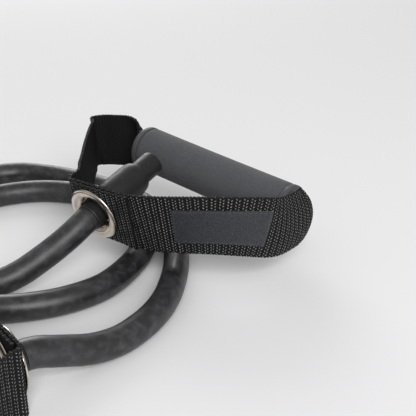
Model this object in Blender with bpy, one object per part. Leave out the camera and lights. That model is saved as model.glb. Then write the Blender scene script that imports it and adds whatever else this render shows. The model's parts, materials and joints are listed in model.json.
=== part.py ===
"""Resistance band: one rubber tube laid in two loose turns, with a stirrup handle on each end.

Each handle is a webbing strap that runs through the hollow core of a foam grip. The strap's two
ends lie over each other at a metal grommet, and the tube passes through the grommet's hole, where
a plug inside the tube's end stops it. Handle a lies on the turns of the tube, handle b on the floor.
Units are metres, +Z is up and the floor is z = 0.
"""
import math

import bmesh
import bpy
from mathutils import Matrix, Vector

# Driving dimensions
TUBE_DIAMETER = 0.0133
TUBE_BORE_RADIUS = 0.0042
WEB_WIDTH = 0.03175
WEB_THICKNESS = 0.0018
GRIP_LENGTH = 0.107
GRIP_RADIUS = 0.0127
GROMMET_RADIUS = 0.01475
THROAT_RADIUS = 0.0088
STOPPER_RADIUS = 0.0092
STOPPER_LENGTH = 0.046
LABEL_LENGTH = 0.052
LABEL_HEIGHT = 0.0185
LABEL_THICKNESS = 0.0006
GAP = 0.0003

# Worked out from them
CORE_RADIUS = GRIP_RADIUS - 0.0033
CORE_BORE_RADIUS = CORE_RADIUS - 0.0012
CAP_WIDTH = 0.0037
CAP_LIP = 0.0015
BARREL_RADIUS = THROAT_RADIUS + 0.0007
NECK_RADIUS = TUBE_DIAMETER / 2 + 0.0005
PLUG_RADIUS = STOPPER_RADIUS - 0.0029
LAYER_SHIFT = (WEB_THICKNESS + GAP) / 2
STACK = WEB_THICKNESS + GAP / 2
CURL_RADIUS = 0.0063
ROUND_SIDES = 32
SMALL_SIDES = 24
WEB_CELLS_ACROSS = 8
WEB_STEP = 0.0075
TUBE_STEP = 0.021

# Places of the two handles: the grommet's centre, the heading of the handle, how far the
# grommet and the strap's front lean, and how far the grip tips along its own length
HANDLES = {
    "a": {"centre": (0.0108, 0.0542, 0.0315), "heading": -40.5, "axis_turn": 4.0,
          "axis_pitch": 16.0, "grip_tip": 5.0, "grip_centre": (0.0174, 0.0716, 0.0016)},
    "b": {"centre": (-0.0127, -0.0563, WEB_WIDTH / 2 + 0.0001), "heading": 124.0, "axis_turn": 4.0,
          "axis_pitch": 0.0, "grip_tip": 0.0, "grip_centre": (0.0174, 0.0716, 0.0)},
}

# The strap's route in plan, in the handle's own frame: x along the grip, y from the grommet to
# the grip. Each point also has its rise and lean on a tipped handle, from 0 to 1, how far the
# web is curled into a tube, from 0 to 1, and which layer it is in at the grommet, from 1 to -1.
STRAP_ROUTE = (
    (0.0245, 0.00171, 0.00, 0.80, 0.0, 1.0),
    (0.0165, 0.00115, 0.00, 0.95, 0.0, 1.0),
    (0.0120, 0.00084, 0.00, 1.00, 0.0, 1.0),
    (0.0000, 0.00000, 0.00, 1.00, 0.0, 1.0),
    (-0.0120, -0.00084, 0.00, 1.00, 0.0, 1.0),
    (-0.0138, -0.00096, 0.00, 1.00, 0.0, 1.0),
    (-0.0155, -0.00010, 0.01, 0.80, 0.0, 0.95),
    (-0.0169, 0.00300, 0.04, 0.35, 0.0, 0.6),
    (-0.0256, 0.01380, 0.14, 0.20, 0.0, 0.05),
    (-0.0455, 0.03500, 0.35, 0.20, 0.0, 0.0),
    (-0.0640, 0.05600, 0.55, 0.05, 0.0, 0.0),
    (-0.0687, 0.06250, 0.66, 0.00, 0.0, 0.0),
    (-0.0660, 0.06500, 0.74, 0.00, 0.0, 0.0),
    (-0.0570, 0.06950, 0.85, 0.00, 0.0, 0.0),
    (-0.0485, 0.07380, 0.90, 0.00, 0.1, 0.0),
    (-0.0430, 0.07680, 0.90, 0.00, 0.45, 0.0),
    (-0.0400, 0.07780, 0.88, 0.00, 0.8, 0.0),
    (-0.0378, 0.07790, 0.855, 0.00, 1.0, 0.0),
    (-0.0350, 0.07790, 0.822, 0.00, 1.0, 0.0),
    (-0.0200, 0.07790, 0.647, 0.00, 1.0, 0.0),
    (0.0420, 0.07790, -0.076, 0.00, 1.0, 0.0),
    (0.0700, 0.07790, -0.403, 0.00, 1.0, 0.0),
    (0.0728, 0.07790, -0.436, 0.00, 1.0, 0.0),
    (0.0748, 0.07790, -0.46, 0.00, 0.8, 0.0),
    (0.0771, 0.07780, -0.48, 0.00, 0.5, 0.0),
    (0.0798, 0.07650, -0.50, -0.10, 0.36, 0.0),
    (0.0811, 0.07350, -0.52, -0.20, 0.3, 0.0),
    (0.0816, 0.06900, -0.56, -0.25, 0.26, 0.0),
    (0.0815, 0.06100, -0.52, -0.20, 0.2, 0.0),
    (0.0800, 0.04700, -0.30, -0.05, 0.1, 0.0),
    (0.0740, 0.03350, 0.18, 0.15, 0.02, 0.0),
    (0.0620, 0.01950, 0.45, 0.35, 0.0, 0.0),
    (0.0450, 0.00850, 0.30, 0.50, 0.0, -0.5),
    (0.0330, 0.00300, 0.12, 0.60, 0.0, -1.0),
    (0.0245, 0.00171, 0.00, 0.80, 0.0, -1.0),
    (0.0165, 0.00115, 0.00, 0.95, 0.0, -1.0),
    (0.0120, 0.00084, 0.00, 1.00, 0.0, -1.0),
    (0.0000, 0.00000, 0.00, 1.00, 0.0, -1.0),
    (-0.0130, -0.00091, 0.00, 1.00, 0.0, -1.0),
)
STRAP_RISE = {"a": 0.0075, "b": 0.0}
LABEL_START = 0.0425

# The tube's route between the two stoppers: out of handle a, round the inner turn, round the
# outer turn, and into handle b
TUBE_ROUTE = (
    (0.0003, 0.0422, 0.0252), (-0.0072, 0.0367, 0.0202), (-0.0157, 0.0310, 0.0153),
    (-0.0247, 0.0250, 0.0110), (-0.0367, 0.0200, 0.0077), (-0.0547, 0.0210, 0.0067),
    (-0.0747, 0.0317, 0.0067), (-0.0887, 0.0507, 0.0067), (-0.0932, 0.0737, 0.0067),
    (-0.0877, 0.0977, 0.0067), (-0.0747, 0.1187, 0.0067), (-0.0567, 0.1327, 0.0067),
    (-0.0377, 0.1382, 0.0067), (-0.0167, 0.1362, 0.0067), (0.0023, 0.1287, 0.0067),
    (0.0183, 0.1147, 0.0067), (0.0288, 0.0957, 0.0067), (0.0331, 0.0757, 0.0067),
    (0.0321, 0.0577, 0.0067), (0.0263, 0.0377, 0.0067), (0.0158, 0.0192, 0.0067),
    (-0.0007, 0.0067, 0.0067), (-0.0197, 0.0005, 0.0067), (-0.0417, -0.0008, 0.0067),
    (-0.0647, 0.0037, 0.0067), (-0.0857, 0.0157, 0.0067), (-0.1017, 0.0347, 0.0067),
    (-0.1097, 0.0587, 0.0067), (-0.1107, 0.0857, 0.0067), (-0.1057, 0.1127, 0.0067),
    (-0.0957, 0.1377, 0.0067), (-0.0787, 0.1597, 0.0067), (-0.0567, 0.1687, 0.0067),
    (-0.0347, 0.1642, 0.0067), (-0.0127, 0.1537, 0.0067), (0.0093, 0.1387, 0.0067),
    (0.0273, 0.1207, 0.0067), (0.0403, 0.0987, 0.0067), (0.0483, 0.0737, 0.0067),
    (0.0510, 0.0477, 0.0067), (0.0500, 0.0247, 0.0067), (0.0453, 0.0012, 0.0067),
    (0.0373, -0.0158, 0.0067), (0.0283, -0.0273, 0.0068), (0.0178, -0.0358, 0.0085),
    (0.0068, -0.0430, 0.0125),
)


def material(name, colour, roughness, metallic=0.0):
    mat = bpy.data.materials.new(name)
    mat.use_nodes = True
    shader = mat.node_tree.nodes["Principled BSDF"]
    shader.inputs["Base Color"].default_value = (*colour, 1.0)
    shader.inputs["Roughness"].default_value = roughness
    shader.inputs["Metallic"].default_value = metallic
    return mat


def empty(name, matrix, parent=None):
    """An unseen frame that pieces are parented to; matrix is in the parent's frame."""
    frame = bpy.data.objects.new(name, None)
    bpy.context.scene.collection.objects.link(frame)
    frame.parent = parent
    frame.matrix_basis = matrix
    return frame


def add_piece(name, mesh_bm, parent, mat, smooth=True):
    """Turn a bmesh, drawn in the parent's frame, into a named object with one material."""
    bmesh.ops.recalc_face_normals(mesh_bm, faces=mesh_bm.faces)
    mesh = bpy.data.meshes.new(name)
    mesh_bm.to_mesh(mesh)
    mesh_bm.free()
    if smooth:
        mesh.shade_smooth()
        mesh.set_sharp_from_angle(angle=math.radians(35))
    piece = bpy.data.objects.new(name, mesh)
    bpy.context.scene.collection.objects.link(piece)
    piece.parent = parent
    mesh.materials.append(mat)
    return piece


def turned(profile, sides):
    """Spin a closed profile of (distance along X, radius) once round the X axis."""
    bm = bmesh.new()
    verts = [bm.verts.new((x, radius, 0.0)) for x, radius in profile]
    edges = [bm.edges.new((a, b)) for a, b in zip(verts, verts[1:])]
    if profile[0][1] > 0.0:
        edges.append(bm.edges.new((verts[-1], verts[0])))
    bmesh.ops.spin(bm, geom=verts + edges, axis=(1, 0, 0), cent=(0, 0, 0),
                   angle=2 * math.pi, steps=sides)
    bmesh.ops.remove_doubles(bm, verts=bm.verts, dist=1e-6)
    return bm


def smooth_route(points, step, least=2):
    """Points along one smooth curve through rows of numbers, paced by their first columns."""
    rows = [Vector(point) for point in points]
    reach = 3 if len(rows[0]) == 3 else 2
    spans = [max((Vector(b[:reach]) - Vector(a[:reach])).length, 1e-5)
             for a, b in zip(rows, rows[1:])]
    slopes = [(rows[1] - rows[0]) / spans[0]]
    for i in range(1, len(rows) - 1):
        before = (rows[i] - rows[i - 1]) / spans[i - 1]
        after = (rows[i + 1] - rows[i]) / spans[i]
        slopes.append((before * spans[i] + after * spans[i - 1]) / (spans[i] + spans[i - 1]))
    slopes.append((rows[-1] - rows[-2]) / spans[-1])
    out = []
    for i, span in enumerate(spans):
        count = max(least, round(span / step))
        for k in range(count):
            t = k / count
            out.append(rows[i] * (2 * t ** 3 - 3 * t ** 2 + 1)
                       + slopes[i] * span * (t ** 3 - 2 * t ** 2 + t)
                       + rows[i + 1] * (3 * t ** 2 - 2 * t ** 3)
                       + slopes[i + 1] * span * (t ** 3 - t ** 2))
    out.append(rows[-1])
    return out


def strap_sections(side):
    """Centre, width direction, outward normal and curl of the web at each step of its route."""
    rise = STRAP_RISE[side]
    lean = math.radians(HANDLES[side]["axis_pitch"])
    rows = smooth_route([Vector((x, y, z * rise, tilt * lean, curl, layer)).freeze()
                         for x, y, z, tilt, curl, layer in STRAP_ROUTE], WEB_STEP)
    centres = [Vector(row[:3]) for row in rows]
    sections = []
    for i, row in enumerate(rows):
        ahead = centres[min(i + 1, len(rows) - 1)] - centres[max(i - 1, 0)]
        along = ahead.normalized()
        out_flat = Vector((0, 0, 1)).cross(along).normalized()
        up = along.cross(out_flat)
        across = up * math.cos(row[3]) + out_flat * math.sin(row[3])
        outward = out_flat * math.cos(row[3]) - up * math.sin(row[3])
        curl = min(max(row[4], 0.0), 1.0)
        centre = centres[i] + outward * row[5] * LAYER_SHIFT
        sections.append((centre, across, outward, curl))
    return sections


def web_point(section, v, lift):
    """A point of the web: v across its width from the middle, lift off its middle surface."""
    centre, across, outward, curl = section
    if curl < 0.01:
        return centre + across * v + outward * lift
    radius = CURL_RADIUS / curl
    angle = v / radius
    normal = outward * math.cos(angle) + across * math.sin(angle)
    middle = centre - outward * radius
    return middle + normal * (radius + lift)


def web_solid(sections, half_width, cells, low, high):
    """A closed strip of web that follows the sections, between two heights off its middle."""
    bm = bmesh.new()
    widths = [half_width * (2 * k / cells - 1) for k in range(cells + 1)]
    rings = []
    for section in sections:
        outer = [bm.verts.new(web_point(section, v, high)) for v in widths]
        inner = [bm.verts.new(web_point(section, v, low)) for v in reversed(widths)]
        rings.append(outer + inner)
    count = len(rings[0])
    for ring, following in zip(rings, rings[1:]):
        for k in range(count):
            j = (k + 1) % count
            bm.faces.new((ring[k], ring[j], following[j], following[k]))
    for ring in (rings[0], rings[-1]):
        for k in range(cells):
            bm.faces.new((ring[k], ring[k + 1], ring[count - 2 - k], ring[count - 1 - k]))
    return bm


def cylinder_cutter(name, radius, length, parent):
    bm = bmesh.new()
    bmesh.ops.create_cone(bm, cap_ends=True, segments=SMALL_SIDES, radius1=radius,
                          radius2=radius, depth=length,
                          matrix=Matrix.Rotation(math.radians(90), 4, "Y"))
    cutter = add_piece(name, bm, parent, WEB, smooth=False)
    cutter.hide_render = True
    cutter.display_type = "WIRE"
    return cutter


def make_strap(side, frame, axis_frame):
    """The webbing: one length of web, with a hole for the grommet through both its layers."""
    sections = strap_sections(side)
    half = WEB_THICKNESS / 2
    bm = web_solid(sections, WEB_WIDTH / 2, WEB_CELLS_ACROSS, -half, half)
    strap = add_piece(f"webbing_strap_{side}", bm, frame, WEB, smooth=False)
    cutter = cylinder_cutter(f"cutter_{side}", BARREL_RADIUS + GAP, 4 * STACK, axis_frame)
    hole = strap.modifiers.new("grommet_hole", "BOOLEAN")
    hole.operation = "DIFFERENCE"
    hole.solver = "EXACT"
    hole.object = cutter
    return sections


def make_label(side, frame, sections):
    """A plain woven patch on the outside of the strap's long leg."""
    travelled = 0.0
    chosen = []
    for section, before in zip(sections[:0:-1], sections[-2::-1]):
        if section[0].x > LABEL_START and travelled < LABEL_LENGTH:
            chosen.append(section)
            travelled += (before[0] - section[0]).length
    low = WEB_THICKNESS / 2 + GAP
    bm = web_solid(chosen, LABEL_HEIGHT / 2, 2, low, low + LABEL_THICKNESS)
    add_piece(f"woven_label_{side}", bm, frame, LABEL, smooth=False)


def make_grommet(side, axis_frame):
    """A domed front ring with its barrel, and the flat ring behind the web."""
    front = -STACK - GAP
    back = STACK + GAP
    ring = (
        (front, BARREL_RADIUS), (front, GROMMET_RADIUS - 0.0006),
        (front - 0.0002, GROMMET_RADIUS), (front - 0.0007, GROMMET_RADIUS),
        (front - 0.0013, GROMMET_RADIUS - 0.0009), (front - 0.0016, GROMMET_RADIUS - 0.0023),
        (front - 0.0015, GROMMET_RADIUS - 0.0036), (front - 0.0009, THROAT_RADIUS + 0.0014),
        (front + 0.0003, THROAT_RADIUS + 0.0005), (front + 0.0017, THROAT_RADIUS),
        (back + 0.0011, THROAT_RADIUS), (back + 0.0013, THROAT_RADIUS + 0.00035),
        (back + 0.0011, BARREL_RADIUS),
    )
    add_piece(f"grommet_{side}", turned(ring, ROUND_SIDES), axis_frame, NICKEL)
    washer = (
        (back, BARREL_RADIUS + GAP), (back, GROMMET_RADIUS - 0.0009),
        (back + 0.0003, GROMMET_RADIUS - 0.0006), (back + 0.0008, GROMMET_RADIUS - 0.0011),
        (back + 0.0008, BARREL_RADIUS + GAP),
    )
    add_piece(f"grommet_washer_{side}", turned(washer, ROUND_SIDES), axis_frame, NICKEL)


def make_grip(side, frame):
    """A foam sleeve on a hollow core that turns on the strap, closed by two end caps."""
    half = GRIP_LENGTH / 2
    foam_half = half - CAP_WIDTH - GAP
    core_half = half - CAP_LIP - GAP
    foam = (
        (-foam_half, CORE_RADIUS + GAP), (-foam_half, GRIP_RADIUS - 0.0007),
        (-foam_half + 0.0008, GRIP_RADIUS - 0.0001), (0.0, GRIP_RADIUS),
        (foam_half - 0.0008, GRIP_RADIUS - 0.0001), (foam_half, GRIP_RADIUS - 0.0007),
        (foam_half, CORE_RADIUS + GAP),
    )
    add_piece(f"foam_grip_{side}", turned(foam, ROUND_SIDES), frame, FOAM)
    core = (
        (-core_half, CORE_BORE_RADIUS), (-core_half, CORE_RADIUS),
        (core_half, CORE_RADIUS), (core_half, CORE_BORE_RADIUS),
    )
    add_piece(f"grip_core_{side}", turned(core, SMALL_SIDES), frame, PLASTIC)
    for end, sign in (("left", -1), ("right", 1)):
        cap = (
            (half - CAP_WIDTH, CORE_RADIUS + GAP), (half - CAP_WIDTH, GRIP_RADIUS - 0.0002),
            (half - CAP_WIDTH + 0.0004, GRIP_RADIUS + 0.0001),
            (half - 0.0011, GRIP_RADIUS + 0.0001), (half - 0.0003, GRIP_RADIUS - 0.0005),
            (half, GRIP_RADIUS - 0.0013), (half, CORE_BORE_RADIUS + 0.0009),
            (half - 0.0004, CORE_BORE_RADIUS + 0.0003), (half - CAP_LIP, CORE_BORE_RADIUS + 0.0001),
            (half - CAP_LIP, CORE_RADIUS + GAP),
        )
        placed = [(sign * x, radius) for x, radius in cap]
        add_piece(f"end_cap_{end}_{side}", turned(placed, ROUND_SIDES), frame, CAP)


def make_tube_end(side, frame):
    """The tube's end: a sleeve in the grommet, a fat part over the plug, and a short tail."""
    tube_radius = TUBE_DIAMETER / 2
    sleeve = (
        (-0.0070, TUBE_BORE_RADIUS), (-0.0070, NECK_RADIUS - 0.0001),
        (-0.0068, NECK_RADIUS), (0.0062, NECK_RADIUS), (0.0079, STOPPER_RADIUS - 0.0003),
        (0.0095, STOPPER_RADIUS), (0.0260, STOPPER_RADIUS), (0.0292, STOPPER_RADIUS - 0.0004),
        (0.0317, STOPPER_RADIUS - 0.0012), (0.0333, STOPPER_RADIUS - 0.0022),
        (0.0342, tube_radius), (STOPPER_LENGTH - 0.0005, tube_radius),
        (STOPPER_LENGTH, tube_radius - 0.0004), (STOPPER_LENGTH, TUBE_BORE_RADIUS),
        (0.0318, TUBE_BORE_RADIUS), (0.0275, PLUG_RADIUS + GAP),
        (0.0095, PLUG_RADIUS + GAP), (0.0075, TUBE_BORE_RADIUS),
    )
    add_piece(f"tube_end_{side}", turned(sleeve, SMALL_SIDES), frame, RUBBER)
    plug = (
        (0.0079, 0.0), (0.0079, TUBE_BORE_RADIUS - 0.0002), (0.0099, PLUG_RADIUS),
        (0.0271, PLUG_RADIUS), (0.0308, TUBE_BORE_RADIUS), (0.0308, 0.0),
    )
    add_piece(f"stopper_plug_{side}", turned(plug, SMALL_SIDES), frame, PLASTIC)


def make_tube(ends):
    """The band itself, from the sleeve of tube end a to the sleeve of tube end b."""
    curve = bpy.data.curves.new("band_tube", "CURVE")
    curve.dimensions = "3D"
    curve.bevel_depth = TUBE_DIAMETER / 2
    curve.bevel_resolution = 3
    curve.use_fill_caps = True
    starts = []
    for frame in ends:
        face = frame.matrix_world @ Vector((-0.0070 - GAP, 0, 0))
        beyond = frame.matrix_world @ Vector((-0.0100, 0, 0))
        starts.append((face, beyond))
    (first, second), (last, before_last) = starts
    route = [first, second, *(Vector(point) for point in TUBE_ROUTE), before_last, last]
    points = smooth_route(route, TUBE_STEP, least=1)
    spline = curve.splines.new("POLY")
    spline.points.add(len(points) - 1)
    for spot, point in zip(spline.points, points):
        spot.co = (*point, 1.0)
    tube = bpy.data.objects.new("band_tube", curve)
    bpy.context.scene.collection.objects.link(tube)
    curve.materials.append(RUBBER)


def make_handle(side):
    """One handle and the tube's end in it; returns the frame of the tube's end."""
    place = HANDLES[side]
    seat = Matrix.Translation(place["centre"]) @ Matrix.Rotation(
        math.radians(place["heading"]), 4, "Z")
    axis = (Matrix.Rotation(math.radians(90 + place["axis_turn"]), 4, "Z")
            @ Matrix.Rotation(-math.radians(place["axis_pitch"]), 4, "Y"))
    frame = empty(f"handle_{side}_pivot", seat)
    axis_frame = empty(f"grommet_{side}_axis", axis, frame)
    grip_place = (Matrix.Translation(place["grip_centre"])
                  @ Matrix.Rotation(math.radians(place["grip_tip"]), 4, "Y"))
    grip_frame = empty(f"grip_{side}_axis", grip_place, frame)
    sections = make_strap(side, frame, axis_frame)
    make_label(side, frame, sections)
    make_grommet(side, axis_frame)
    make_grip(side, grip_frame)
    end_frame = empty(f"tube_end_{side}_axis", seat @ axis)
    make_tube_end(side, end_frame)
    return end_frame


for leftover in list(bpy.data.objects):
    bpy.data.objects.remove(leftover, do_unlink=True)

RUBBER = material("charcoal_rubber", (0.045, 0.045, 0.047), 0.55)
FOAM = material("grey_foam", (0.06, 0.06, 0.065), 0.7)
PLASTIC = material("black_plastic", (0.02, 0.02, 0.02), 0.45)
CAP = material("cap_rubber", (0.035, 0.035, 0.038), 0.4)
WEB = material("black_webbing", (0.012, 0.012, 0.014), 0.6)
LABEL = material("satin_label", (0.022, 0.025, 0.033), 0.45)
NICKEL = material("polished_nickel", (0.72, 0.68, 0.62), 0.2, 1.0)

tube_ends = [make_handle(side) for side in HANDLES]
bpy.context.view_layer.update()
make_tube(tube_ends)
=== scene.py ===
"""Resistance band: a rubber tube in two loose turns, with a webbing stirrup handle on each end.

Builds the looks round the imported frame: the tube, its moulded ends, the straps, their labels,
the grommets, the foam grips and their caps. Metres, +Z up, floor at z = 0.
"""

import json
import math

import bpy
import numpy as np
from mathutils import Matrix, Vector


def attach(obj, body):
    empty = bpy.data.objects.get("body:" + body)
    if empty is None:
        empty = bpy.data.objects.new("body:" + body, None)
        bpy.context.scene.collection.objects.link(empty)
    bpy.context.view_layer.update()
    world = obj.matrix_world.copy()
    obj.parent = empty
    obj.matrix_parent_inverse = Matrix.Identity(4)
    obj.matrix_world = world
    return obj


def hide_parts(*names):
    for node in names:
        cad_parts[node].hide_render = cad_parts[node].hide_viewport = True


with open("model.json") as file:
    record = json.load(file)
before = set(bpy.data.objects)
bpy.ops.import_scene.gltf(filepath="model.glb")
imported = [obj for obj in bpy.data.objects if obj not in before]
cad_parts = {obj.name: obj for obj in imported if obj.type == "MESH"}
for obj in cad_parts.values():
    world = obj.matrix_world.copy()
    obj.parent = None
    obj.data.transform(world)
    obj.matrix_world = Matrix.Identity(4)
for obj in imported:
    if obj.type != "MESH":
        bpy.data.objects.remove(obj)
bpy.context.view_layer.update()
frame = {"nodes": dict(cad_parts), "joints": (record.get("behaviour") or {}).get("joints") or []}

# ---- Where the handles are ----
# Each handle hinges at its grommet's centre, and its grip turns on its own axis, so the two
# joints of a handle say where it stands and which way it faces. Handle a's grommet is tipped up
# towards its grip. The gap is what separate pieces keep between them.
joints = {joint["name"]: joint for joint in frame["joints"]}
sides = ("a", "b")
grommet_pitch = {"a": math.radians(16), "b": 0.0}
gap = 0.0003
grommet_centre = {side: Vector(joints[f"handle_{side}_lift"]["pos_m"]) for side in sides}
grip_centre = {side: Vector(joints[f"grip_{side}_spin"]["pos_m"]) for side in sides}
grip_axis = {side: Vector(joints[f"grip_{side}_spin"]["axis"]).normalized() for side in sides}
tube_way = {}
for side in sides:
    level = Vector((0, 0, 1)).cross(Vector(joints[f"handle_{side}_lift"]["axis"])).normalized()
    tube_way[side] = (level * math.cos(grommet_pitch[side])
                      + Vector((0, 0, math.sin(grommet_pitch[side]))))

# ---- Camera ----
# A long lens a little above the handle, looking level along +Y and down on the turns.
camera_place = (0.0673, -0.3193, 0.2014)
camera_down = 24.27
camera_lens = 69.5
bpy.ops.object.camera_add(location=camera_place, rotation=(math.radians(90 - camera_down), 0, 0))
camera = bpy.context.object
camera.data.lens = camera_lens
camera.data.sensor_width = 36
camera.data.clip_start = 0.01
bpy.context.scene.camera = camera

# ---- The rubber tube ----
# A black latex tube, moulded plain and matt, with a dusty bloom rubbed into it. It comes out of
# handle a, lies in an inner and an outer turn on the floor, and goes up into handle b.
tube_diameter = 0.0133
tube_step = 0.004
sleeve_front = 0.0070
straight_out = 0.0100
tube_route = (
    (0.0003, 0.0422, 0.0252), (-0.0072, 0.0367, 0.0202), (-0.0157, 0.0310, 0.0153),
    (-0.0247, 0.0250, 0.0110), (-0.0367, 0.0200, 0.0077), (-0.0547, 0.0210, 0.0067),
    (-0.0747, 0.0317, 0.0067), (-0.0887, 0.0507, 0.0067), (-0.0932, 0.0737, 0.0067),
    (-0.0877, 0.0977, 0.0067), (-0.0747, 0.1187, 0.0067), (-0.0567, 0.1327, 0.0067),
    (-0.0377, 0.1382, 0.0067), (-0.0167, 0.1362, 0.0067), (0.0023, 0.1287, 0.0067),
    (0.0183, 0.1147, 0.0067), (0.0288, 0.0957, 0.0067), (0.0331, 0.0757, 0.0067),
    (0.0321, 0.0577, 0.0067), (0.0263, 0.0377, 0.0067), (0.0158, 0.0192, 0.0067),
    (-0.0007, 0.0067, 0.0067), (-0.0197, 0.0005, 0.0067), (-0.0417, -0.0008, 0.0067),
    (-0.0647, 0.0037, 0.0067), (-0.0857, 0.0157, 0.0067), (-0.1017, 0.0347, 0.0067),
    (-0.1097, 0.0587, 0.0067), (-0.1107, 0.0857, 0.0067), (-0.1057, 0.1127, 0.0067),
    (-0.0957, 0.1377, 0.0067), (-0.0787, 0.1597, 0.0067), (-0.0567, 0.1687, 0.0067),
    (-0.0347, 0.1642, 0.0067), (-0.0127, 0.1537, 0.0067), (0.0093, 0.1387, 0.0067),
    (0.0273, 0.1207, 0.0067), (0.0403, 0.0987, 0.0067), (0.0483, 0.0737, 0.0067),
    (0.0510, 0.0477, 0.0067), (0.0500, 0.0247, 0.0067), (0.0453, 0.0012, 0.0067),
    (0.0373, -0.0158, 0.0067), (0.0283, -0.0273, 0.0068), (0.0178, -0.0358, 0.0085),
    (0.0068, -0.0430, 0.0125),
)


def flow(rows, paced_by, step):
    """A smooth curve through rows of numbers.

    The first paced_by columns are a place, and the distance between places sets the pace. Each
    row's slope is weighed from its two neighbours, and the steps between rows are about one step.
    """
    rows = np.array(rows, float)
    spans = np.maximum(np.linalg.norm(np.diff(rows[:, :paced_by], axis=0), axis=1), 1e-5)
    pace = np.diff(rows, axis=0) / spans[:, None]
    before, after = spans[:-1, None], spans[1:, None]
    inner = (pace[:-1] * after + pace[1:] * before) / (before + after)
    slopes = np.vstack([pace[:1], inner, pace[-1:]])
    parts = []
    for i, span in enumerate(spans):
        steps = max(2, round(span / step))
        t = (np.arange(steps) / steps)[:, None]
        parts.append(rows[i] * (2 * t ** 3 - 3 * t ** 2 + 1)
                     + slopes[i] * span * (t ** 3 - 2 * t ** 2 + t)
                     + rows[i + 1] * (3 * t ** 2 - 2 * t ** 3)
                     + slopes[i + 1] * span * (t ** 3 - t ** 2))
    return np.vstack([*parts, rows[-1:]])


def shader_node(mat, kind, inputs=None, **settings):
    """Add a shader node. inputs gives each socket a value, or another node's output."""
    new = mat.node_tree.nodes.new(kind)
    for key, value in settings.items():
        setattr(new, key, value)
    for key, value in (inputs or {}).items():
        if isinstance(value, bpy.types.NodeSocket):
            mat.node_tree.links.new(value, new.inputs[key])
        else:
            new.inputs[key].default_value = value
    return new


def finish_material(name, **sockets):
    """A new material whose Principled shader has these socket values."""
    mat = bpy.data.materials.new(name)
    mat.use_nodes = True
    shader = mat.node_tree.nodes["Principled BSDF"]
    for key, value in sockets.items():
        shader.inputs[key.replace("_", " ")].default_value = value
    return mat, shader


def ramp(mat, factor, stops):
    """A colour ramp from factor; stops are (place, grey or colour)."""
    made = shader_node(mat, "ShaderNodeValToRGB", {"Fac": factor})
    bar = made.color_ramp
    while len(bar.elements) < len(stops):
        bar.elements.new(0.5)
    for element, (place, colour) in zip(bar.elements, stops):
        element.position = place
        element.color = (*colour, 1) if isinstance(colour, tuple) else (colour, colour, colour, 1)
    return made.outputs["Color"]


def noise(mat, scale, detail=3.0, roughness=0.5):
    """Noise on the object's own coordinates."""
    place = shader_node(mat, "ShaderNodeTexCoord").outputs["Object"]
    made = shader_node(mat, "ShaderNodeTexNoise", {"Vector": place, "Scale": scale,
                                                   "Detail": detail, "Roughness": roughness})
    return made.outputs["Fac"]


def blend_colours(mat, factor, first, second):
    """Mix two colours by a factor; each may be a colour or another node's output."""
    made = shader_node(mat, "ShaderNodeMix", data_type="RGBA")
    for socket, value in (("Factor_Float", factor), ("A_Color", first), ("B_Color", second)):
        target = next(s for s in made.inputs if s.identifier == socket)
        if isinstance(value, bpy.types.NodeSocket):
            mat.node_tree.links.new(value, target)
        else:
            target.default_value = (*value, 1) if isinstance(value, tuple) else value
    return next(s for s in made.outputs if s.identifier == "Result_Color")


def bump(mat, shader, height, distance, strength):
    """Raise the surface by a height pattern; distance is its depth in metres."""
    made = shader_node(mat, "ShaderNodeBump", {"Height": height, "Distance": distance,
                                               "Strength": strength})
    mat.node_tree.links.new(made.outputs["Normal"], shader.inputs["Normal"])


def drive(mat, shader, socket, value):
    """Lead a node's output into one of the shader's sockets."""
    mat.node_tree.links.new(value, shader.inputs[socket])


tube_rubber, shader = finish_material("dusty_tube_rubber", Specular_IOR_Level=0.55)
bloom = ramp(tube_rubber, noise(tube_rubber, 55, 5, 0.62), ((0.38, 0.0), (0.72, 1.0)))
smudge = ramp(tube_rubber, noise(tube_rubber, 210, 4, 0.6), ((0.45, 0.0), (0.80, 1.0)))
base = blend_colours(tube_rubber, bloom, (0.011, 0.011, 0.0118), (0.024, 0.024, 0.026))
dusty = blend_colours(tube_rubber, smudge, base, (0.060, 0.060, 0.065))
drive(tube_rubber, shader, "Base Color", dusty)
drive(tube_rubber, shader, "Roughness", ramp(tube_rubber, bloom, ((0.0, 0.36), (1.0, 0.52))))
bump(tube_rubber, shader, noise(tube_rubber, 1400, 3), 0.00012, 0.5)

ends = {side: (grommet_centre[side] - tube_way[side] * (sleeve_front + gap),
               grommet_centre[side] - tube_way[side] * straight_out) for side in sides}
route = [*ends["a"], *tube_route, *reversed(ends["b"])]
tube_line = flow(route, 3, tube_step)
bpy.ops.object.select_all(action="DESELECT")
tube_curve = bpy.data.curves.new("rubber_tube", "CURVE")
tube_curve.dimensions = "3D"
tube_curve.bevel_depth = tube_diameter / 2
tube_curve.bevel_resolution = 10
tube_curve.use_fill_caps = True
spline = tube_curve.splines.new("POLY")
spline.points.add(len(tube_line) - 1)
spline.use_smooth = True
for spot, point in zip(spline.points, tube_line):
    spot.co = (*point, 1.0)
rubber_tube = bpy.data.objects.new("rubber_tube", tube_curve)
bpy.context.scene.collection.objects.link(rubber_tube)
tube_curve.materials.append(tube_rubber)
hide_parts("band_tube")
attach(rubber_tube, "band")

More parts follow.
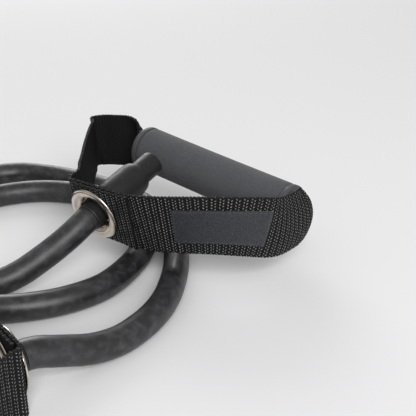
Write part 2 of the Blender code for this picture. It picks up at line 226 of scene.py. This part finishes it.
# ---- Moulded tube ends ----
# The tube's end is slipped through the grommet and swells over a plug that is pushed inside it.
# A short sleeve lines the grommet's hole, and the open tail stands out past the plug.
tube_bore = 0.0042
tail_radius = tube_diameter / 2
stopper_radius = 0.0092
end_shape = (
    (-0.0050, tube_bore), (-sleeve_front, tube_bore), (-sleeve_front, tail_radius),
    (-0.0069, 0.00695), (-0.0066, 0.00713), (-0.0061, 0.00721), (-0.0056, 0.00718),
    (-0.0053, 0.00709), (-0.0048, 0.00706), (0.0055, 0.00712), (0.0064, 0.00750),
    (0.0074, 0.00835), (0.0084, 0.00893), (0.0098, 0.00917), (0.0180, stopper_radius),
    (0.0265, 0.00919), (0.0290, 0.00906), (0.0308, 0.00876), (0.0321, 0.00828),
    (0.0328, 0.00775), (0.0331, 0.00730), (0.0332, 0.00690), (0.0335, 0.00668),
    (0.0342, tail_radius), (0.0451, tail_radius), (0.0456, 0.00658), (0.0459, 0.00640),
    (0.0460, 0.00615), (0.0460, 0.00445), (0.0458, 0.00428), (0.0452, tube_bore),
    (0.0320, tube_bore),
)


def turn(name, centre, way, stations, steps=72):
    """Raise a turned piece ring by ring, and close it on its first ring.

    stations are (distance along the way, radius), and steps is how many points a ring has.
    """
    seat = Matrix.Translation(centre) @ way.to_track_quat("Z", "Y").to_matrix().to_4x4()
    bpy.ops.object.select_all(action="DESELECT")
    (start, radius), *others = stations
    bpy.ops.mesh.primitive_circle_add(vertices=steps, radius=radius,
                                      location=centre + way * start, rotation=seat.to_euler())
    piece = bpy.context.object
    piece.name = piece.data.name = name
    bpy.ops.object.mode_set(mode="EDIT")
    bpy.ops.mesh.select_mode(type="VERT")
    bpy.ops.mesh.select_all(action="SELECT")
    for s, r in others + [stations[0]]:
        bpy.ops.mesh.extrude_region_move(TRANSFORM_OT_translate={"value": way * (s - start)})
        bpy.ops.transform.resize(value=(r / radius,) * 3, center_override=centre + way * s)
        start, radius = s, r
    bpy.ops.mesh.select_all(action="SELECT")
    bpy.ops.mesh.remove_doubles(threshold=1e-6)
    bpy.ops.mesh.normals_make_consistent(inside=False)
    bpy.ops.object.mode_set(mode="OBJECT")
    bpy.ops.object.transform_apply(location=True, rotation=True, scale=True)
    bpy.ops.object.shade_smooth_by_angle(angle=math.radians(40))
    return piece


def settle(piece, mat, body, slot, *nodes):
    """Give a piece its material and its body, and hide the CAD nodes that it stands for. Its slot
    is not used.
    """
    piece.data.materials.clear()
    piece.data.materials.append(mat)
    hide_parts(*nodes)
    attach(piece, body)


end_rubber, shader = finish_material("matt_end_rubber", Specular_IOR_Level=0.3)
specks = ramp(end_rubber, noise(end_rubber, 900, 1), ((0.755, 0.0), (0.80, 1.0)))
cloudy = blend_colours(end_rubber, noise(end_rubber, 120, 4),
                       (0.012, 0.012, 0.012), (0.021, 0.021, 0.021))
speckled = blend_colours(end_rubber, specks, cloudy, (0.11, 0.11, 0.10))
drive(end_rubber, shader, "Base Color", speckled)
drive(end_rubber, shader, "Roughness", ramp(end_rubber, noise(end_rubber, 300, 3),
                                            ((0.3, 0.36), (0.7, 0.48))))
bump(end_rubber, shader, noise(end_rubber, 1800, 2), 0.00008, 0.5)

plug_plastic, shader = finish_material("plug_plastic", Roughness=0.45)
plug_black = blend_colours(plug_plastic, noise(plug_plastic, 200, 3),
                           (0.014, 0.014, 0.014), (0.024, 0.024, 0.024))
drive(plug_plastic, shader, "Base Color", plug_black)
bump(plug_plastic, shader, noise(plug_plastic, 2500, 2), 0.00005, 0.4)

for side in sides:
    moulded_end = turn(f"moulded_end_{side}", grommet_centre[side], tube_way[side], end_shape)
    settle(moulded_end, end_rubber, "band", "charcoal_rubber", f"tube_end_{side}")
    plug = frame["nodes"][f"stopper_plug_{side}"]
    plug.data.materials.clear()
    plug.data.materials.append(plug_plastic)

# ---- Webbing straps ----
# Heavy black nylon webbing, woven in upright ribs of slanted floats with scalloped selvedges. One
# length runs from the grommet round one leg, through the grip, and back to lie over its own start.
# Both layers are punched for the grommet, and the web curls lengthwise inside the grip's core.
web_width = 0.03175
web_thickness = 0.0018
web_step = 0.0006
layer_shift = (web_thickness + gap) / 2
curl_radius = 0.0063
least_curl = 1e-4
rib_pitch = 0.0017
floats_across = 20
rib_cells = 3
float_cells = 3
float_slant = 0.9
groove_share = 0.6
scallop = 0.00016
selvedge_start = 0.94
punch_radius = 0.0107
punch_depth = 0.006
strap_rise = {"a": 0.0075, "b": 0.0}
# A row is x, y, rise in parts of strap_rise, lean in parts of the grommet's pitch, curl from flat
# at 0 to full at 1, and layer, which is 1 for the outer layer at the grommet and -1 for the inner.
strap_route = (
    (0.0245, 0.00171, 0.00, 0.80, 0.0, 1.0),
    (0.0165, 0.00115, 0.00, 0.95, 0.0, 1.0),
    (0.0120, 0.00084, 0.00, 1.00, 0.0, 1.0),
    (0.0000, 0.00000, 0.00, 1.00, 0.0, 1.0),
    (-0.0120, -0.00084, 0.00, 0.85, 0.0, 1.0),
    (-0.0138, -0.00096, 0.00, 0.62, 0.0, 1.0),
    (-0.0155, -0.00010, 0.01, 0.30, 0.0, 0.95),
    (-0.0169, 0.00300, 0.04, 0.12, 0.0, 0.6),
    (-0.0256, 0.01380, 0.14, 0.30, 0.0, 0.05),
    (-0.0455, 0.03500, 0.35, 0.20, 0.0, 0.0),
    (-0.0640, 0.05600, 0.55, 0.05, 0.0, 0.0),
    (-0.0687, 0.06250, 0.66, 0.00, 0.0, 0.0),
    (-0.0660, 0.06500, 0.74, 0.00, 0.0, 0.0),
    (-0.0570, 0.06950, 0.85, 0.00, 0.0, 0.0),
    (-0.0485, 0.07380, 0.90, 0.00, 0.1, 0.0),
    (-0.0430, 0.07680, 0.90, 0.00, 0.45, 0.0),
    (-0.0400, 0.07780, 0.88, 0.00, 0.8, 0.0),
    (-0.0378, 0.07790, 0.855, 0.00, 1.0, 0.0),
    (-0.0350, 0.07790, 0.822, 0.00, 1.0, 0.0),
    (-0.0200, 0.07790, 0.647, 0.00, 1.0, 0.0),
    (0.0420, 0.07790, -0.076, 0.00, 1.0, 0.0),
    (0.0700, 0.07790, -0.403, 0.00, 1.0, 0.0),
    (0.0728, 0.07790, -0.436, 0.00, 1.0, 0.0),
    (0.0748, 0.07790, -0.46, 0.00, 0.8, 0.0),
    (0.0771, 0.07780, -0.48, 0.00, 0.5, 0.0),
    (0.0798, 0.07650, -0.50, -0.10, 0.36, 0.0),
    (0.0811, 0.07350, -0.52, -0.20, 0.3, 0.0),
    (0.0816, 0.06900, -0.56, -0.25, 0.26, 0.0),
    (0.0815, 0.06100, -0.52, -0.20, 0.2, 0.0),
    (0.0800, 0.04700, -0.30, -0.05, 0.1, 0.0),
    (0.0740, 0.03350, 0.18, 0.15, 0.02, 0.0),
    (0.0620, 0.01950, 0.45, 0.35, 0.0, 0.0),
    (0.0450, 0.00850, 0.30, 0.50, 0.0, -0.5),
    (0.0330, 0.00300, 0.12, 0.60, 0.0, -1.0),
    (0.0245, 0.00171, 0.00, 0.80, 0.0, -1.0),
    (0.0165, 0.00115, 0.00, 0.95, 0.0, -1.0),
    (0.0120, 0.00084, 0.00, 1.00, 0.0, -1.0),
    (0.0000, 0.00000, 0.00, 1.00, 0.0, -1.0),
    (-0.0130, -0.00091, 0.00, 1.00, 0.0, -1.0),
)


def web_run(side):
    """The strap's middle line, in its handle's frame.

    Returns the distance along it at each step, and a table of the middle, the direction across
    the web, the outward normal and the curl there, in ten columns.
    """
    reach = np.array([1, 1, strap_rise[side], grommet_pitch[side], 1, 1])
    rows = flow(np.array(strap_route) * reach, 2, web_step)
    middle = rows[:, :3]
    along = np.gradient(middle, axis=0)
    along /= np.linalg.norm(along, axis=1)[:, None]
    flat = np.cross((0, 0, 1), along)
    flat /= np.linalg.norm(flat, axis=1)[:, None]
    up = np.cross(along, flat)
    lean_cos, lean_sin = np.cos(rows[:, 3:4]), np.sin(rows[:, 3:4])
    across = up * lean_cos + flat * lean_sin
    outward = flat * lean_cos - up * lean_sin
    middle = middle + outward * rows[:, 5:6] * layer_shift
    curl = np.clip(rows[:, 4:5], least_curl, 1)
    distance = np.append(0, np.cumsum(np.linalg.norm(np.diff(middle, axis=0), axis=1)))
    return distance, np.hstack([middle, across, outward, curl])


def on_web(run, s, v, lift):
    """Points of the web in the handle's frame: s along it, v across it and lift off its face."""
    distance, table = run
    at = np.stack([np.interp(s, distance, column) for column in table.T], axis=1)
    middle, across, outward, curl = at[:, :3], at[:, 3:6], at[:, 6:9], at[:, 9]
    radius = curl_radius / curl
    turned = v / radius
    bulge = (radius + lift) * np.cos(turned) - radius
    return middle + across * ((radius + lift) * np.sin(turned))[:, None] + outward * bulge[:, None]


def handle_seat(side):
    """The handle's frame: its origin at the grommet's centre, and X along the grip."""
    heading = math.atan2(grip_axis[side].y, grip_axis[side].x)
    return Matrix.Translation(grommet_centre[side]) @ Matrix.Rotation(heading, 4, "Z")


def flat_grid(name, length, width, cells_along, cells_across):
    """A flat grid laid out along X, ready to be bent; returns it and its points' s and v."""
    bpy.ops.object.select_all(action="DESELECT")
    bpy.ops.mesh.primitive_grid_add(x_subdivisions=cells_along, y_subdivisions=cells_across,
                                    size=1, location=(0, 0, 0), calc_uvs=True)
    grid = bpy.context.object
    grid.name = grid.data.name = name
    spots = np.zeros(len(grid.data.vertices) * 3)
    grid.data.vertices.foreach_get("co", spots)
    spots = spots.reshape(-1, 3)
    return grid, (spots[:, 0] + 0.5) * length, spots[:, 1] * width


def bend_to(grid, points, seat):
    """Put a grid's points where they belong, from the handle's frame."""
    seat = np.array(seat)
    placed = points @ seat[:3, :3].T + seat[:3, 3]
    grid.data.vertices.foreach_set("co", placed.astype(np.float32).ravel())
    grid.data.update()


def thicken(grid, thickness, offset, group=None, thinnest=1.0):
    """Give a bent grid its thickness, less where the group's weight is low."""
    solid = grid.modifiers.new("thickness", "SOLIDIFY")
    solid.thickness = thickness
    solid.offset = offset
    if group:
        solid.vertex_group = group
        solid.thickness_vertex_group = thinnest
    bpy.context.view_layer.objects.active = grid
    bpy.ops.object.modifier_apply(modifier=solid.name)
    bpy.ops.object.mode_set(mode="EDIT")
    bpy.ops.mesh.select_all(action="SELECT")
    bpy.ops.mesh.normals_make_consistent(inside=False)
    bpy.ops.object.mode_set(mode="OBJECT")


def math_node(mat, operation, first, second=0.0, third=0.0):
    """Arithmetic on numbers or other nodes' outputs."""
    made = shader_node(mat, "ShaderNodeMath", {0: first, 1: second, 2: third}, operation=operation)
    return made.outputs["Value"]


def own_uv(mat):
    """The piece's own UV map, split: X runs along the piece and Y across it."""
    spot = shader_node(mat, "ShaderNodeTexCoord").outputs["UV"]
    return shader_node(mat, "ShaderNodeSeparateXYZ", {0: spot}).outputs


run_length = web_run("b")[0][-1]
rib_count = round(run_length / rib_pitch)

# The face's weave: each rib is a column of slanted floats that lean the other way in the next one,
# and the ribs stand in pairs. Its colour holds painted light: painted glints on the float tops,
# and painted shade in the grooves, deeper in every second one, and along the selvedges.
webbing, shader = finish_material("ribbed_webbing", Specular_IOR_Level=0.3)
uv = own_uv(webbing)
wander = math_node(webbing, "SUBTRACT", noise(webbing, 160, 2), 0.5)
wander = math_node(webbing, "MULTIPLY", wander, 0.9)
rib = math_node(webbing, "MULTIPLY", uv["X"], float(rib_count))
within = math_node(webbing, "FRACT", rib)
odd = math_node(webbing, "MODULO", math_node(webbing, "FLOOR", rib), 2.0)
lean_sign = math_node(webbing, "MULTIPLY_ADD", odd, -2.0, 1.0)
lean = math_node(webbing, "MULTIPLY", math_node(webbing, "SUBTRACT", within, 0.5),
                 math_node(webbing, "MULTIPLY", lean_sign, float_slant))
float_place = math_node(webbing, "MULTIPLY_ADD", uv["Y"], float(floats_across), lean)
float_place = math_node(webbing, "MULTIPLY_ADD", odd, 0.5, float_place)
float_place = math_node(webbing, "ADD", float_place, wander)
wave = math_node(webbing, "COSINE", math_node(webbing, "MULTIPLY", float_place, 2 * math.pi))
hump = math_node(webbing, "POWER", math_node(webbing, "MULTIPLY_ADD", wave, 0.5, 0.5), 1.6)
ridge = math_node(webbing, "SINE", math_node(webbing, "MULTIPLY", within, math.pi))
pair = math_node(webbing, "SINE", math_node(webbing, "MULTIPLY", rib, math.pi / 2))
pair = math_node(webbing, "POWER", math_node(webbing, "ABSOLUTE", pair), 0.9)
ridge = math_node(webbing, "MULTIPLY", ridge, pair)
weave = math_node(webbing, "MULTIPLY", ridge, math_node(webbing, "MULTIPLY_ADD", hump, 0.8, 0.2))
threads = math_node(webbing, "MULTIPLY_ADD", noise(webbing, 2600, 2), 0.5, 0.75)
# Painted shade: the colour darkens in a narrow band along both selvedges.
selvedge_painted_shade = math_node(webbing, "ABSOLUTE", math_node(webbing, "SUBTRACT", uv["Y"], 0.5))
selvedge_painted_shade = math_node(webbing, "SUBTRACT", 0.5, selvedge_painted_shade)
selvedge_painted_shade = math_node(webbing, "MULTIPLY_ADD", selvedge_painted_shade, 30.0, 0.35)
selvedge_painted_shade = math_node(webbing, "MINIMUM", selvedge_painted_shade, 1.0)
# Painted light: the ramp paints the float tops as bright glints and the grooves as dark shade.
lit = math_node(webbing, "MULTIPLY", math_node(webbing, "MULTIPLY", weave, threads), selvedge_painted_shade)
drive(webbing, shader, "Base Color", ramp(webbing, lit, ((0.0, 0.0006), (0.34, 0.002),
                                                         (0.57, 0.024), (0.86, 0.55))))
drive(webbing, shader, "Roughness", ramp(webbing, weave, ((0.0, 0.85), (1.0, 0.42))))
bump(webbing, shader, lit, 0.0005, 0.9)

# The web's back is the flat, matt side of the weave: low ribs with no floats. Its colour is kept
# darker than the face's as painted shade, for the inner side that lies in shade.
webbing_back, shader = finish_material("webbing_back", Roughness=0.8, Specular_IOR_Level=0.25)
back_rib = math_node(webbing_back, "MULTIPLY", own_uv(webbing_back)["X"], math.pi * rib_count)
back_rib = math_node(webbing_back, "ABSOLUTE", math_node(webbing_back, "SINE", back_rib))
back_yarn = math_node(webbing_back, "MULTIPLY_ADD", noise(webbing_back, 1800, 2), 0.6, 0.4)
back_rib = math_node(webbing_back, "MULTIPLY", back_rib, back_yarn)
# Painted shade: the back's colours are darker than the face's.
drive(webbing_back, shader, "Base Color", ramp(webbing_back, back_rib,
                                               ((0.0, 0.0025), (0.8, 0.0085))))
bump(webbing_back, shader, back_rib, 0.0002, 0.5)


def select_faces(piece, chosen):
    """Leave a piece in edit mode with only these faces selected."""
    piece.data.polygons.foreach_set("select", chosen)
    bpy.ops.object.mode_set(mode="EDIT")
    bpy.ops.mesh.select_mode(type="FACE")
    bpy.ops.object.mode_set(mode="OBJECT")
    piece.data.polygons.foreach_set("select", chosen)
    bpy.ops.object.mode_set(mode="EDIT")


runs = {}
for side in sides:
    run = runs[side] = web_run(side)
    strap, s, v = flat_grid(f"strap_{side}", run_length, web_width,
                            rib_count * rib_cells, floats_across * float_cells)
    s = s * run[0][-1] / run_length
    phase = s / run[0][-1] * rib_count
    odd_rib = np.floor(phase + 1e-6) % 2
    part = phase - np.floor(phase + 1e-6)
    place = ((v / web_width + 0.5) * floats_across + 0.5 * odd_rib
             + (1 - 2 * odd_rib) * float_slant * (part - 0.5))
    floats = 0.25 + 0.75 * (0.5 + 0.5 * np.cos(2 * np.pi * place))
    weight = np.abs(np.sin(np.pi * part)) ** 0.8 * floats
    out_to_edge = np.abs(v) * 2 / web_width
    edge = np.clip((out_to_edge - selvedge_start) / (1 - selvedge_start), 0, 1)
    v = v + np.sign(v) * edge * scallop * np.cos(2 * np.pi * (phase - 0.5))
    bend_to(strap, on_web(run, s, v, 0.0), handle_seat(side))
    ribs = strap.vertex_groups.new(name="ribs")
    for i, amount in enumerate(weight):
        ribs.add([i], float(amount), "REPLACE")
    centre, way = np.array(grommet_centre[side]), np.array(tube_way[side])
    spots = np.array([polygon.center for polygon in strap.data.polygons]) - centre
    off_axis = np.linalg.norm(spots - np.outer(spots @ way, way), axis=1)
    select_faces(strap, (off_axis < punch_radius) & (np.abs(spots @ way) < punch_depth))
    bpy.ops.mesh.delete(type="FACE")
    bpy.ops.object.mode_set(mode="OBJECT")
    shell = len(strap.data.polygons)
    thicken(strap, web_thickness, 0.0, "ribs", groove_share)
    bpy.ops.object.shade_smooth_by_angle(angle=math.radians(60))
    settle(strap, webbing, f"handle_{side}", "black_webbing", f"webbing_strap_{side}")
    strap.data.materials.append(webbing_back)
    in_back = np.zeros(len(strap.data.polygons), int)
    in_back[:shell] = 1
    strap.data.polygons.foreach_set("material_index", in_back)

# ---- Woven labels ----
# A plain patch of dark satin, its edges turned under, sewn to the strap's long leg with a row of
# black thread all round. The thread pulls the edge down, and the middle stands a little proud.
label_length = 0.0475
label_height = 0.0185
label_thickness = 0.0004
label_start = 0.0443
label_base = web_thickness / 2 + 0.0001
label_puff = 0.00045
turned_edge = 0.0004
stitch_pitch = 0.0024
stitch_inset = 0.0009
stitch_lift = 0.00065
stitch_shape = (3.6, 1.0, 0.8)
thread_radius = 0.00022
twill_along, twill_across = 104.0, 42.0

satin, shader = finish_material("plain_satin", Sheen_Weight=0.5, Sheen_Roughness=0.35,
                                Specular_IOR_Level=0.4)
uv = own_uv(satin)
twill_lines = math_node(satin, "ADD", math_node(satin, "MULTIPLY", uv["X"], twill_along),
                        math_node(satin, "MULTIPLY", uv["Y"], twill_across))
twill = math_node(satin, "SINE", math_node(satin, "MULTIPLY", twill_lines, 2 * math.pi))
twill = math_node(satin, "MULTIPLY_ADD", twill, 0.25, 0.5)
grain = math_node(satin, "SUBTRACT", noise(satin, 1900, 2), 0.5)
grain = math_node(satin, "MULTIPLY_ADD", grain, 1.5, twill)
drive(satin, shader, "Base Color", ramp(satin, grain, ((0.25, (0.003, 0.004, 0.005)),
                                                       (0.80, (0.037, 0.042, 0.051)))))
drive(satin, shader, "Roughness", ramp(satin, grain, ((0.2, 0.62), (0.8, 0.45))))
bump(satin, shader, grain, 0.00012, 0.7)

thread, shader = finish_material("label_thread", Roughness=0.55, Sheen_Weight=0.3)
thread_black = blend_colours(thread, noise(thread, 2000, 2),
                             (0.010, 0.011, 0.013), (0.045, 0.050, 0.058))
drive(thread, shader, "Base Color", thread_black)

for side in sides:
    distance, table = runs[side]
    before_label = table[:, 0] < label_start
    begin = distance[len(distance) - 1 - int(np.argmin(before_label[::-1]))]
    label, s, v = flat_grid(f"label_{side}", label_length, label_height, 96, 40)
    border = np.minimum(label_length / 2 - np.abs(s - label_length / 2),
                        label_height / 2 - np.abs(v))
    puff = label_puff * (1 - np.exp(-np.maximum(border - turned_edge, 0) / 0.0016))
    pucker = 0.00010 * np.sin(s * 830) * np.exp(-border / 0.002)
    ripple = 0.00008 * np.sin(s * 210 + v * 260)
    lift = label_base + 0.0003 + puff + pucker + ripple
    bend_to(label, on_web(runs[side], begin - label_length + s, v, lift), handle_seat(side))
    thicken(label, label_thickness, 0.0)
    bpy.ops.object.shade_smooth_by_angle(angle=math.radians(60))
    settle(label, satin, f"handle_{side}", "satin_label", f"woven_label_{side}")
    along_count = round((label_length - 2 * stitch_inset) / stitch_pitch)
    up_count = round((label_height - 2 * stitch_inset) / stitch_pitch)
    half_height = label_height / 2 - stitch_inset
    seams = [(stitch_inset + (i + 0.5) * (label_length - 2 * stitch_inset) / along_count, v, False)
             for i in range(along_count) for v in (-half_height, half_height)]
    seams += [(s, (i + 0.5) * 2 * half_height / up_count - half_height, True)
              for i in range(up_count) for s in (stitch_inset, label_length - stitch_inset)]
    bpy.ops.object.select_all(action="DESELECT")
    bpy.ops.mesh.primitive_uv_sphere_add(segments=8, ring_count=5, radius=thread_radius,
                                         location=(0, 0, 0))
    stitches = bpy.context.object
    stitches.name = stitches.data.name = f"label_stitches_{side}"
    row = stitches.modifiers.new("row", "ARRAY")
    row.count = len(seams)
    row.use_relative_offset = False
    row.use_merge_vertices = False
    bpy.ops.object.modifier_apply(modifier=row.name)
    ball = np.zeros(len(stitches.data.vertices) * 3)
    stitches.data.vertices.foreach_get("co", ball)
    ball = ball.reshape(len(seams), -1, 3)
    placed = []
    for (s, v, upright), shape in zip(seams, ball * stitch_shape):
        run_by, cross_by = (shape[:, 1], shape[:, 0]) if upright else (shape[:, 0], shape[:, 1])
        placed.append(on_web(runs[side], begin - label_length + s + run_by, v + cross_by,
                             label_base + stitch_lift + shape[:, 2]))
    bend_to(stitches, np.vstack(placed), handle_seat(side))
    bpy.ops.object.shade_smooth()
    stitches.data.materials.clear()
    stitches.data.materials.append(thread)
    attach(stitches, f"handle_{side}")

# ---- Grommets ----
# A two-part grommet in polished nickel plate: a domed ring with a flared barrel, set through both
# layers of the strap onto a flat washer behind them.
grommet_radius = 0.01475
throat_radius = 0.0088
barrel_radius = throat_radius + 0.0007
web_stack = web_thickness + gap / 2
grommet_face = -web_stack - gap
grommet_back = web_stack + gap
ring_shape = (
    (grommet_face + 0.0003, barrel_radius + 0.0001), (grommet_face, 0.0135),
    (grommet_face - 0.0001, 0.01440), (grommet_face - 0.00025, 0.01468),
    (grommet_face - 0.0005, grommet_radius), (grommet_face - 0.0008, 0.01463),
    (grommet_face - 0.0011, 0.01434), (grommet_face - 0.00138, 0.01388),
    (grommet_face - 0.00155, 0.01325), (grommet_face - 0.00162, 0.01255),
    (grommet_face - 0.00156, 0.01190), (grommet_face - 0.00138, 0.01125),
    (grommet_face - 0.00108, 0.01068), (grommet_face - 0.0007, 0.01018),
    (grommet_face - 0.0002, 0.00968), (grommet_face + 0.0004, 0.00928),
    (grommet_face + 0.0011, 0.00898), (grommet_face + 0.0019, 0.00884),
    (grommet_face + 0.0028, throat_radius), (grommet_back + 0.0009, throat_radius),
    (grommet_back + 0.0012, 0.00888), (grommet_back + 0.0013, 0.00908),
    (grommet_back + 0.0012, 0.00930), (grommet_back + 0.0010, 0.00940), (grommet_back, 0.00945),
)
washer_shape = (
    (grommet_back + 0.0001, barrel_radius + gap), (grommet_back, 0.0136),
    (grommet_back + 0.0001, 0.0139), (grommet_back + 0.0003, 0.01408),
    (grommet_back + 0.0005, 0.01400), (grommet_back + 0.0007, 0.01370),
    (grommet_back + 0.0008, 0.01320), (grommet_back + 0.0008, 0.0103),
    (grommet_back + 0.0007, 0.0100), (grommet_back + 0.0005, barrel_radius + gap),
)
nickel, shader = finish_material("polished_nickel", Metallic=1.0)
tarnish = ramp(nickel, noise(nickel, 260, 4, 0.6), ((0.40, 0.0), (0.75, 1.0)))
warm_grey = blend_colours(nickel, tarnish, (0.74, 0.665, 0.58), (0.52, 0.45, 0.375))
drive(nickel, shader, "Base Color", warm_grey)
drive(nickel, shader, "Roughness", ramp(nickel, noise(nickel, 500, 3), ((0.3, 0.13), (0.8, 0.26))))
bump(nickel, shader, noise(nickel, 3000, 2), 0.00002, 0.4)
for side in sides:
    ring = turn(f"grommet_ring_{side}", grommet_centre[side], tube_way[side], ring_shape,
                steps=128)
    settle(ring, nickel, f"handle_{side}", "polished_nickel", f"grommet_{side}")
    washer = turn(f"washer_{side}", grommet_centre[side], tube_way[side], washer_shape,
                  steps=96)
    settle(washer, nickel, f"handle_{side}", "polished_nickel", f"grommet_washer_{side}")

# ---- Foam grips ----
# A sleeve of dark grey closed-cell foam, slid onto a hollow plastic core that turns on the strap.
# Its skin is soft and fine-celled, a little waisted in the middle and rounded over at its ends.
grip_length = 0.107
grip_radius = 0.0127
core_radius = grip_radius - 0.0033
cap_width = 0.0037
foam_end = grip_length / 2 - cap_width - gap
foam_rings = 60
foam_rounding = 0.0018
foam_waist = 0.00018
foam_shape = [(-foam_end, core_radius + gap), (-foam_end, grip_radius - 0.0012),
              (-foam_end + 0.0003, grip_radius - 0.0006),
              (-foam_end + 0.0009, grip_radius - 0.0002)]
for i in range(foam_rings + 1):
    share = 2 * i / foam_rings - 1
    foam_shape.append((share * (foam_end - foam_rounding),
                       grip_radius - foam_waist * (1 - share ** 2)))
foam_shape += [(-s, r) for s, r in reversed(foam_shape[:4])]

foam, shader = finish_material("closed_cell_foam", Sheen_Weight=0.08, Sheen_Roughness=0.5,
                               Specular_IOR_Level=0.25)
shade = ramp(foam, noise(foam, 70, 4), ((0.3, 0.0), (0.7, 1.0)))
cells = ramp(foam, noise(foam, 1500, 3), ((0.35, 0.0), (0.65, 1.0)))
soft = blend_colours(foam, shade, (0.062, 0.063, 0.069), (0.079, 0.081, 0.088))
drive(foam, shader, "Base Color", blend_colours(foam, cells, soft, (0.090, 0.092, 0.099)))
drive(foam, shader, "Roughness", ramp(foam, cells, ((0.0, 0.88), (1.0, 0.74))))
bump(foam, shader, cells, 0.00010, 0.5)

core_plastic, shader = finish_material("core_plastic", Roughness=0.40)
core_black = blend_colours(core_plastic, noise(core_plastic, 150, 3),
                           (0.012, 0.012, 0.013), (0.022, 0.022, 0.024))
drive(core_plastic, shader, "Base Color", core_black)
bump(core_plastic, shader, noise(core_plastic, 2200, 2), 0.00005, 0.4)

for side in sides:
    foam_sleeve = turn(f"foam_sleeve_{side}", grip_centre[side], grip_axis[side], foam_shape,
                       steps=96)
    settle(foam_sleeve, foam, f"grip_{side}", "grey_foam", f"foam_grip_{side}")
    core = frame["nodes"][f"grip_core_{side}"]
    core.data.materials.clear()
    core.data.materials.append(core_plastic)

# ---- End caps ----
# A moulded rubber ring pressed over each end of the core, with a rolled lip round the strap's way
# in. It keeps the foam on the core and the strap off the foam's edge.
cap_face = grip_length / 2
cap_seat = cap_face - cap_width
cap_shape = (
    (cap_seat, core_radius + gap), (cap_seat, 0.01235), (cap_seat + 0.0002, 0.01268),
    (cap_seat + 0.0006, 0.01280), (cap_face - 0.0016, 0.01280), (cap_face - 0.0011, 0.01272),
    (cap_face - 0.0007, 0.01254), (cap_face - 0.0004, 0.01228), (cap_face - 0.0001, 0.01180),
    (cap_face, 0.01130), (cap_face, 0.00960), (cap_face - 0.0001, 0.00915),
    (cap_face - 0.0004, 0.00872), (cap_face - 0.0008, 0.00848), (cap_face - 0.0015, 0.00840),
    (cap_face - 0.0015, 0.00950), (cap_face - 0.0018, core_radius + gap),
)
cap_rubber, shader = finish_material("cap_rubber", Specular_IOR_Level=0.5)
cap_grey = blend_colours(cap_rubber, noise(cap_rubber, 160, 4),
                         (0.052, 0.053, 0.057), (0.080, 0.081, 0.087))
drive(cap_rubber, shader, "Base Color", cap_grey)
drive(cap_rubber, shader, "Roughness", ramp(cap_rubber, noise(cap_rubber, 400, 3),
                                            ((0.3, 0.42), (0.7, 0.55))))
bump(cap_rubber, shader, noise(cap_rubber, 2000, 2), 0.00006, 0.4)
for side in sides:
    for end, sign in (("left", -1), ("right", 1)):
        cap = turn(f"cap_{end}_{side}", grip_centre[side], grip_axis[side] * sign, cap_shape,
                   steps=96)
        settle(cap, cap_rubber, f"grip_{side}", "cap_rubber", f"end_cap_{end}_{side}")

# ---- Floor and light ----
# A plain pale floor under a soft white sky that is a little dimmer at the horizon, with a large
# soft lamp from the front and one from behind that draws the long glints on the rubber.
bpy.ops.object.select_all(action="DESELECT")
bpy.ops.mesh.primitive_plane_add(size=8, location=(0, 0, 0))
floor = bpy.context.object
floor.name = floor.data.name = "floor"
pale, shader = finish_material("pale_floor", Base_Color=(0.84, 0.84, 0.85, 1), Roughness=0.9,
                               Specular_IOR_Level=0.1)
floor.data.materials.append(pale)

world = bpy.data.worlds.new("soft_sky")
world.use_nodes = True
upward = shader_node(world, "ShaderNodeTexCoord").outputs["Generated"]
upward = shader_node(world, "ShaderNodeSeparateXYZ", {0: upward}).outputs["Z"]
background = world.node_tree.nodes["Background"]
background.inputs["Strength"].default_value = 0.50
drive(world, background, "Color", ramp(world, upward, ((0.0, 0.66), (0.3, 0.70),
                                                       (0.6, 0.88), (1.0, 1.0))))
bpy.context.scene.world = world


def soft_lamp(name, place, aim, size, power):
    """A square lamp in watts, turned to face its aim."""
    bpy.ops.object.light_add(type="AREA", location=place)
    lamp = bpy.context.object
    lamp.name = name
    lamp.data.size = size
    lamp.data.energy = power
    lamp.rotation_euler = (Vector(aim) - Vector(place)).to_track_quat("-Z", "Y").to_euler()


soft_lamp("front_lamp", (0.45, -1.5, 1.1), (0.0, 0.05, 0.0), 1.2, 31)
soft_lamp("back_lamp", (-0.5, 2.1, 0.9), (0.0, 0.10, 0.0), 1.2, 20)
bpy.context.scene.view_settings.view_transform = "Standard"
